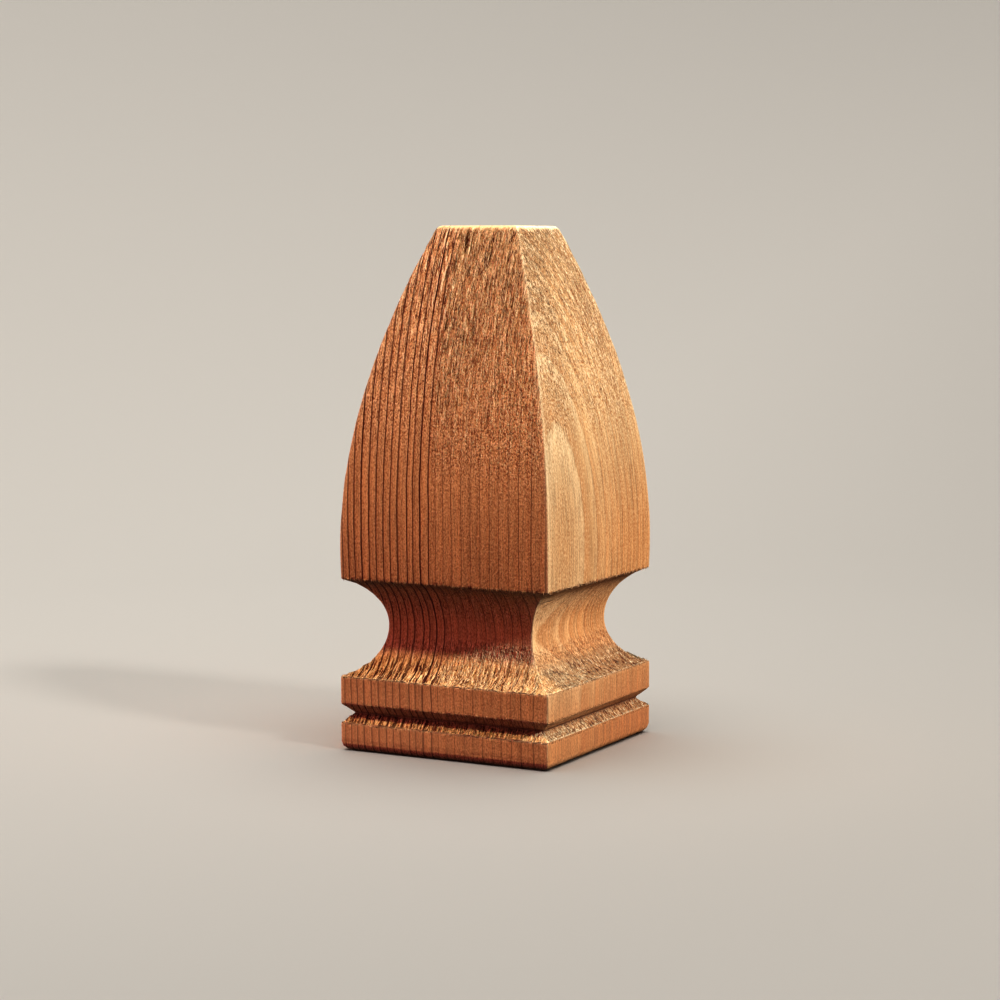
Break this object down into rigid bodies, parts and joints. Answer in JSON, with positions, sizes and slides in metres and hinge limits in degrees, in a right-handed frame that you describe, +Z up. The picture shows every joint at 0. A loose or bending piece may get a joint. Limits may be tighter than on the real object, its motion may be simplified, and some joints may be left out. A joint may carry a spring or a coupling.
{
  "type": "gothic finial",
  "caption": "Square wooden post finial with a pointed-arch head cut flat at its tip, a cove neck and a grooved square foot; a pilot hole in its underside takes the fixing screw.",
  "frame": {"origin": "middle of the underside, at the mouth of the pilot hole", "axes": "+Z up to the tip; +X and +Y square to the side faces; the picture's large left face is the -Y face and its narrow right face is +X"},
  "size_m": [0.078, 0.078, 0.1755],
  "materials": {
    "cedar": "matte, unfinished"
  },
  "bodies": {
    "root": {"finial": "cedar"}
  },
  "joints": []
}
